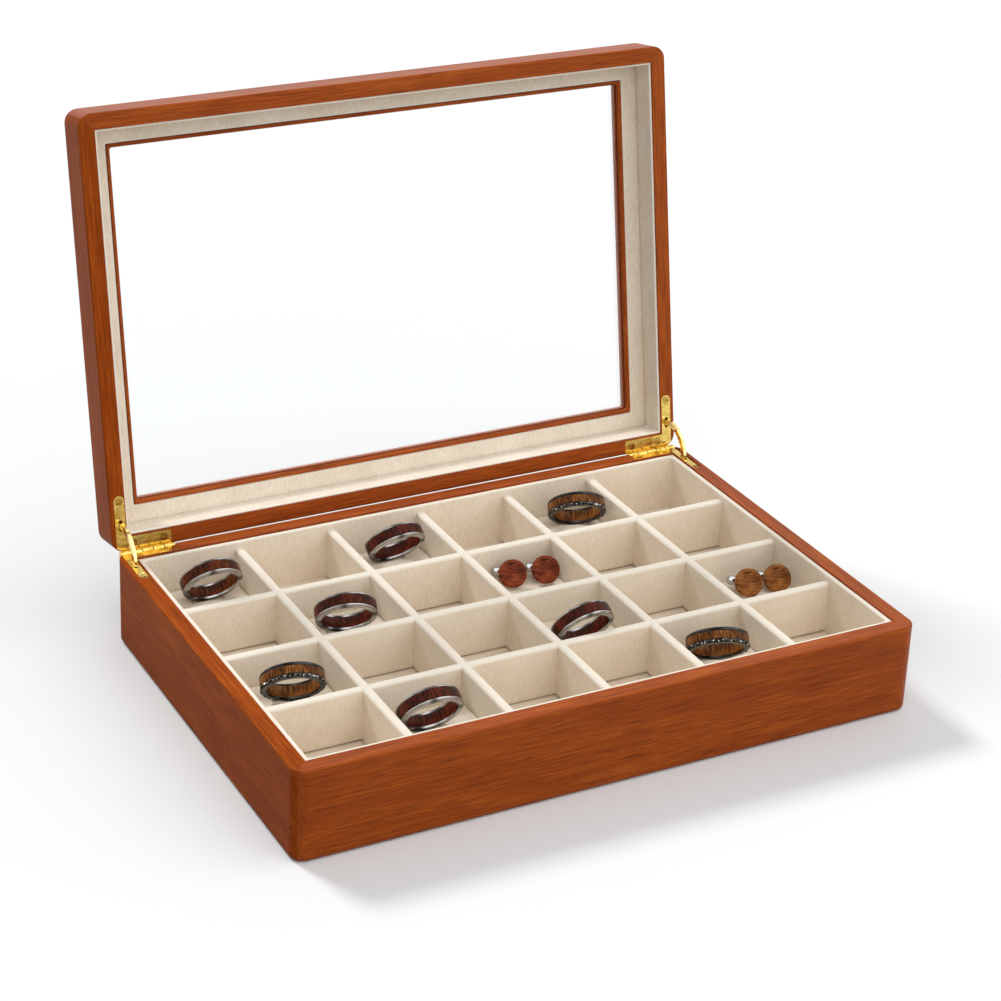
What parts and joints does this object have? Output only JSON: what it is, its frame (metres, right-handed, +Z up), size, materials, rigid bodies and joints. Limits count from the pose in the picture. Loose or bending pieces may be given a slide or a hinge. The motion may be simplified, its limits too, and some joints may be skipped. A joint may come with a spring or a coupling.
{
  "type": "ring display box",
  "caption": "Shallow wooden case with a lined grid of compartments, a glazed lid on quadrant hinges, and finger rings and wooden studs on show",
  "frame": {"origin": "centre of the case's underside, on the surface that it stands on", "axes": "+X to the case's right seen from the front, +Y to its back where the hinges are, +Z up"},
  "size_m": [0.24, 0.2085, 0.1925],
  "materials": {
    "case_wood": "satin lacquered hardwood",
    "panel_wood": "plain board",
    "felt": "dark felt",
    "lining": "beige suede cloth",
    "brass": "polished",
    "glass": "clear",
    "ring_steel": "polished bevels",
    "ring_black_steel": "hammered black edges",
    "ring_dark_wood": "lacquered dark red wood",
    "ring_light_wood": "lacquered brown wood",
    "stud_wood": "streaked lacquered wood",
    "stud_steel": "polished"
  },
  "bodies": {
    "case": {"base_front_rail": "case_wood", "base_back_rail": "case_wood", "base_left_rail": "case_wood", "base_right_rail": "case_wood", "base_bottom_panel": "panel_wood", "base_felt": "felt", "floor_pad": "lining", "lining_front": "lining", "lining_back": "lining", "lining_left": "lining", "lining_right": "lining", "column_divider_1": "lining", "column_divider_2": "lining", "column_divider_3": "lining", "column_divider_4": "lining", "column_divider_5": "lining", "row_divider_1": "lining", "row_divider_2": "lining", "row_divider_3": "lining", "display_pads": "lining", "hinge_base_leaf_left": "brass", "hinge_base_leaf_right": "brass", "hinge_pins": "brass", "base_hinge_screws": "brass"},
    "lid": {"lid_front_rail": "case_wood", "lid_back_rail": "case_wood", "lid_left_rail": "case_wood", "lid_right_rail": "case_wood", "lid_glass": "glass", "lid_lining_panel": "lining", "lid_lining_walls": "lining", "hinge_lid_leaf_left": "brass", "hinge_lid_leaf_right": "brass", "lid_hinge_screws": "brass"},
    "stay_left": {"stay_left": "brass"},
    "stay_right": {"stay_right": "brass"},
    "ring_1": {"ring_1_band": "ring_steel", "ring_1_wood": "ring_dark_wood"},
    "ring_2": {"ring_2_band": "ring_steel", "ring_2_wood": "ring_dark_wood"},
    "ring_3": {"ring_3_band": "ring_black_steel", "ring_3_wood": "ring_light_wood"},
    "ring_4": {"ring_4_band": "ring_steel", "ring_4_wood": "ring_dark_wood"},
    "ring_5": {"ring_5_band": "ring_black_steel", "ring_5_wood": "ring_light_wood"},
    "ring_6": {"ring_6_band": "ring_steel", "ring_6_wood": "ring_dark_wood"},
    "ring_7": {"ring_7_band": "ring_steel", "ring_7_wood": "ring_dark_wood"},
    "ring_8": {"ring_8_band": "ring_black_steel", "ring_8_wood": "ring_light_wood"},
    "stud_1": {"stud_1_face": "stud_wood", "stud_1_back": "stud_steel"},
    "stud_2": {"stud_2_face": "stud_wood", "stud_2_back": "stud_steel"},
    "stud_3": {"stud_3_face": "stud_wood", "stud_3_back": "stud_steel"},
    "stud_4": {"stud_4_face": "stud_wood", "stud_4_back": "stud_steel"}
  },
  "joints": [
    {"name": "lid_hinge", "type": "hinge", "parent": "case", "child": "lid", "pos_m": [0, 0.0815, 0.03295], "axis": [-1, 0, 0], "range_deg": [-100, 0]},
    {"name": "stay_left_turn", "type": "hinge", "parent": "case", "child": "stay_left", "pos_m": [0, 0.0815, 0.03295], "axis": [-1, 0, 0], "range_deg": [-50, 0]},
    {"name": "stay_right_turn", "type": "hinge", "parent": "case", "child": "stay_right", "pos_m": [0, 0.0815, 0.03295], "axis": [-1, 0, 0], "range_deg": [-50, 0]},
    {"name": "ring_1_lift", "type": "slide", "parent": "case", "child": "ring_1", "axis": [0, 0, 1], "range_m": [0, 0.04]},
    {"name": "ring_2_lift", "type": "slide", "parent": "case", "child": "ring_2", "axis": [0, 0, 1], "range_m": [0, 0.04]},
    {"name": "ring_3_lift", "type": "slide", "parent": "case", "child": "ring_3", "axis": [0, 0, 1], "range_m": [0, 0.04]},
    {"name": "ring_4_lift", "type": "slide", "parent": "case", "child": "ring_4", "axis": [0, 0, 1], "range_m": [0, 0.04]},
    {"name": "ring_5_lift", "type": "slide", "parent": "case", "child": "ring_5", "axis": [0, 0, 1], "range_m": [0, 0.04]},
    {"name": "ring_6_lift", "type": "slide", "parent": "case", "child": "ring_6", "axis": [0, 0, 1], "range_m": [0, 0.04]},
    {"name": "ring_7_lift", "type": "slide", "parent": "case", "child": "ring_7", "axis": [0, 0, 1], "range_m": [0, 0.04]},
    {"name": "ring_8_lift", "type": "slide", "parent": "case", "child": "ring_8", "axis": [0, 0, 1], "range_m": [0, 0.04]},
    {"name": "stud_1_lift", "type": "slide", "parent": "case", "child": "stud_1", "axis": [0, 0, 1], "range_m": [0, 0.04]},
    {"name": "stud_2_lift", "type": "slide", "parent": "case", "child": "stud_2", "axis": [0, 0, 1], "range_m": [0, 0.04]},
    {"name": "stud_3_lift", "type": "slide", "parent": "case", "child": "stud_3", "axis": [0, 0, 1], "range_m": [0, 0.04]},
    {"name": "stud_4_lift", "type": "slide", "parent": "case", "child": "stud_4", "axis": [0, 0, 1], "range_m": [0, 0.04]}
  ],
  "couplings": [
    {"joint": "stay_left_turn", "follows": "lid_hinge", "ratio": 0.5},
    {"joint": "stay_right_turn", "follows": "lid_hinge", "ratio": 0.5}
  ]
}
